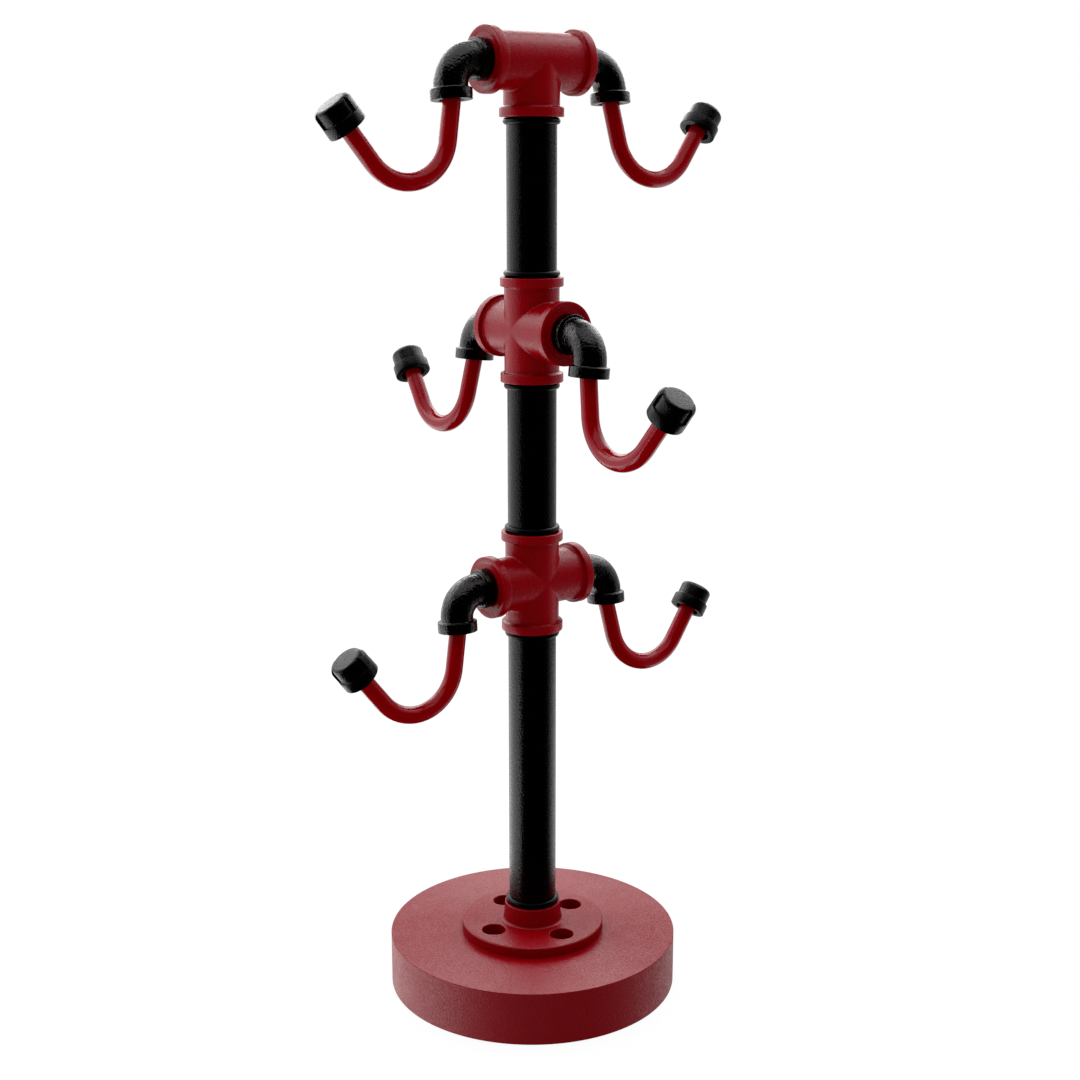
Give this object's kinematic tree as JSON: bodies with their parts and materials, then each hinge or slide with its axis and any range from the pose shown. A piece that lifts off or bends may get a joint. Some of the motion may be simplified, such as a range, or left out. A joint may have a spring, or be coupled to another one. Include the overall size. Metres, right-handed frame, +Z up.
{
  "type": "mug tree",
  "caption": "Free-standing mug tree made of threaded pipe fittings: a round base, an upright pipe post and three turnable tiers of bent hooks with end caps.",
  "frame": {"origin": "centre of the base at table level, on the post's axis", "axes": "+Z up along the post; +X along the arms of the top and lower tiers, +Y along those of the middle tier"},
  "size_m": [0.3212, 0.3212, 0.6655],
  "materials": {
    "base_paint": "satin dark red powder coat over a turned disc",
    "flange_paint": "satin dark red powder coat",
    "fitting_paint": "satin dark red powder coat with fine grain",
    "hook_paint": "semi-gloss dark red paint",
    "pipe_black": "semi-gloss black lacquer with fine grain",
    "elbow_black": "glossy black coating over a lumpy casting",
    "cap_black": "satin black coating over a casting",
    "sleeve_black": "matt black",
    "bare_steel": "zinc plated",
    "seal_rubber": "smooth black rubber",
    "foot_rubber": "matt black rubber"
  },
  "bodies": {
    "stand": {"base_disc": "base_paint", "base_foot_ring": "foot_rubber", "base_screws": "bare_steel", "floor_flange": "flange_paint", "lower_pipe": "pipe_black", "flange_seal_ring": "seal_rubber", "lower_cross_seal_ring_below": "seal_rubber"},
    "lower_tier": {"lower_cross": "fitting_paint", "lower_cross_seal_ring_above": "seal_rubber", "middle_pipe": "pipe_black", "middle_cross_seal_ring_below": "seal_rubber", "lower_right_port_bushing": "fitting_paint", "lower_right_close_nipple": "bare_steel", "lower_right_elbow": "elbow_black", "lower_right_hook": "hook_paint", "lower_right_hook_sleeves": "sleeve_black", "lower_right_end_cap": "cap_black", "lower_left_port_bushing": "fitting_paint", "lower_left_close_nipple": "bare_steel", "lower_left_elbow": "elbow_black", "lower_left_hook": "hook_paint", "lower_left_hook_sleeves": "sleeve_black", "lower_left_end_cap": "cap_black"},
    "middle_tier": {"middle_cross": "fitting_paint", "middle_cross_seal_ring_above": "seal_rubber", "upper_pipe": "pipe_black", "top_tee_seal_ring_below": "seal_rubber", "middle_back_port_bushing": "fitting_paint", "middle_back_close_nipple": "bare_steel", "middle_back_elbow": "elbow_black", "middle_back_hook": "hook_paint", "middle_back_hook_sleeves": "sleeve_black", "middle_back_end_cap": "cap_black", "middle_front_port_bushing": "fitting_paint", "middle_front_close_nipple": "bare_steel", "middle_front_elbow": "elbow_black", "middle_front_hook": "hook_paint", "middle_front_hook_sleeves": "sleeve_black", "middle_front_end_cap": "cap_black"},
    "top_tier": {"top_tee": "fitting_paint", "top_right_port_bushing": "fitting_paint", "top_right_close_nipple": "bare_steel", "top_right_elbow": "elbow_black", "top_right_hook": "hook_paint", "top_right_hook_sleeves": "sleeve_black", "top_right_end_cap": "cap_black", "top_left_port_bushing": "fitting_paint", "top_left_close_nipple": "bare_steel", "top_left_elbow": "elbow_black", "top_left_hook": "hook_paint", "top_left_hook_sleeves": "sleeve_black", "top_left_end_cap": "cap_black"}
  },
  "joints": [
    {"name": "lower_tier_turn", "type": "hinge", "parent": "stand", "child": "lower_tier", "pos_m": [0, 0, 0.2698], "axis": [0, 0, 1], "range_deg": [-90, 90]},
    {"name": "middle_tier_turn", "type": "hinge", "parent": "lower_tier", "child": "middle_tier", "pos_m": [0, 0, 0.4428], "axis": [0, 0, 1], "range_deg": [-90, 90]},
    {"name": "top_tier_turn", "type": "hinge", "parent": "middle_tier", "child": "top_tier", "pos_m": [0, 0, 0.6158], "axis": [0, 0, 1], "range_deg": [-90, 90]}
  ]
}
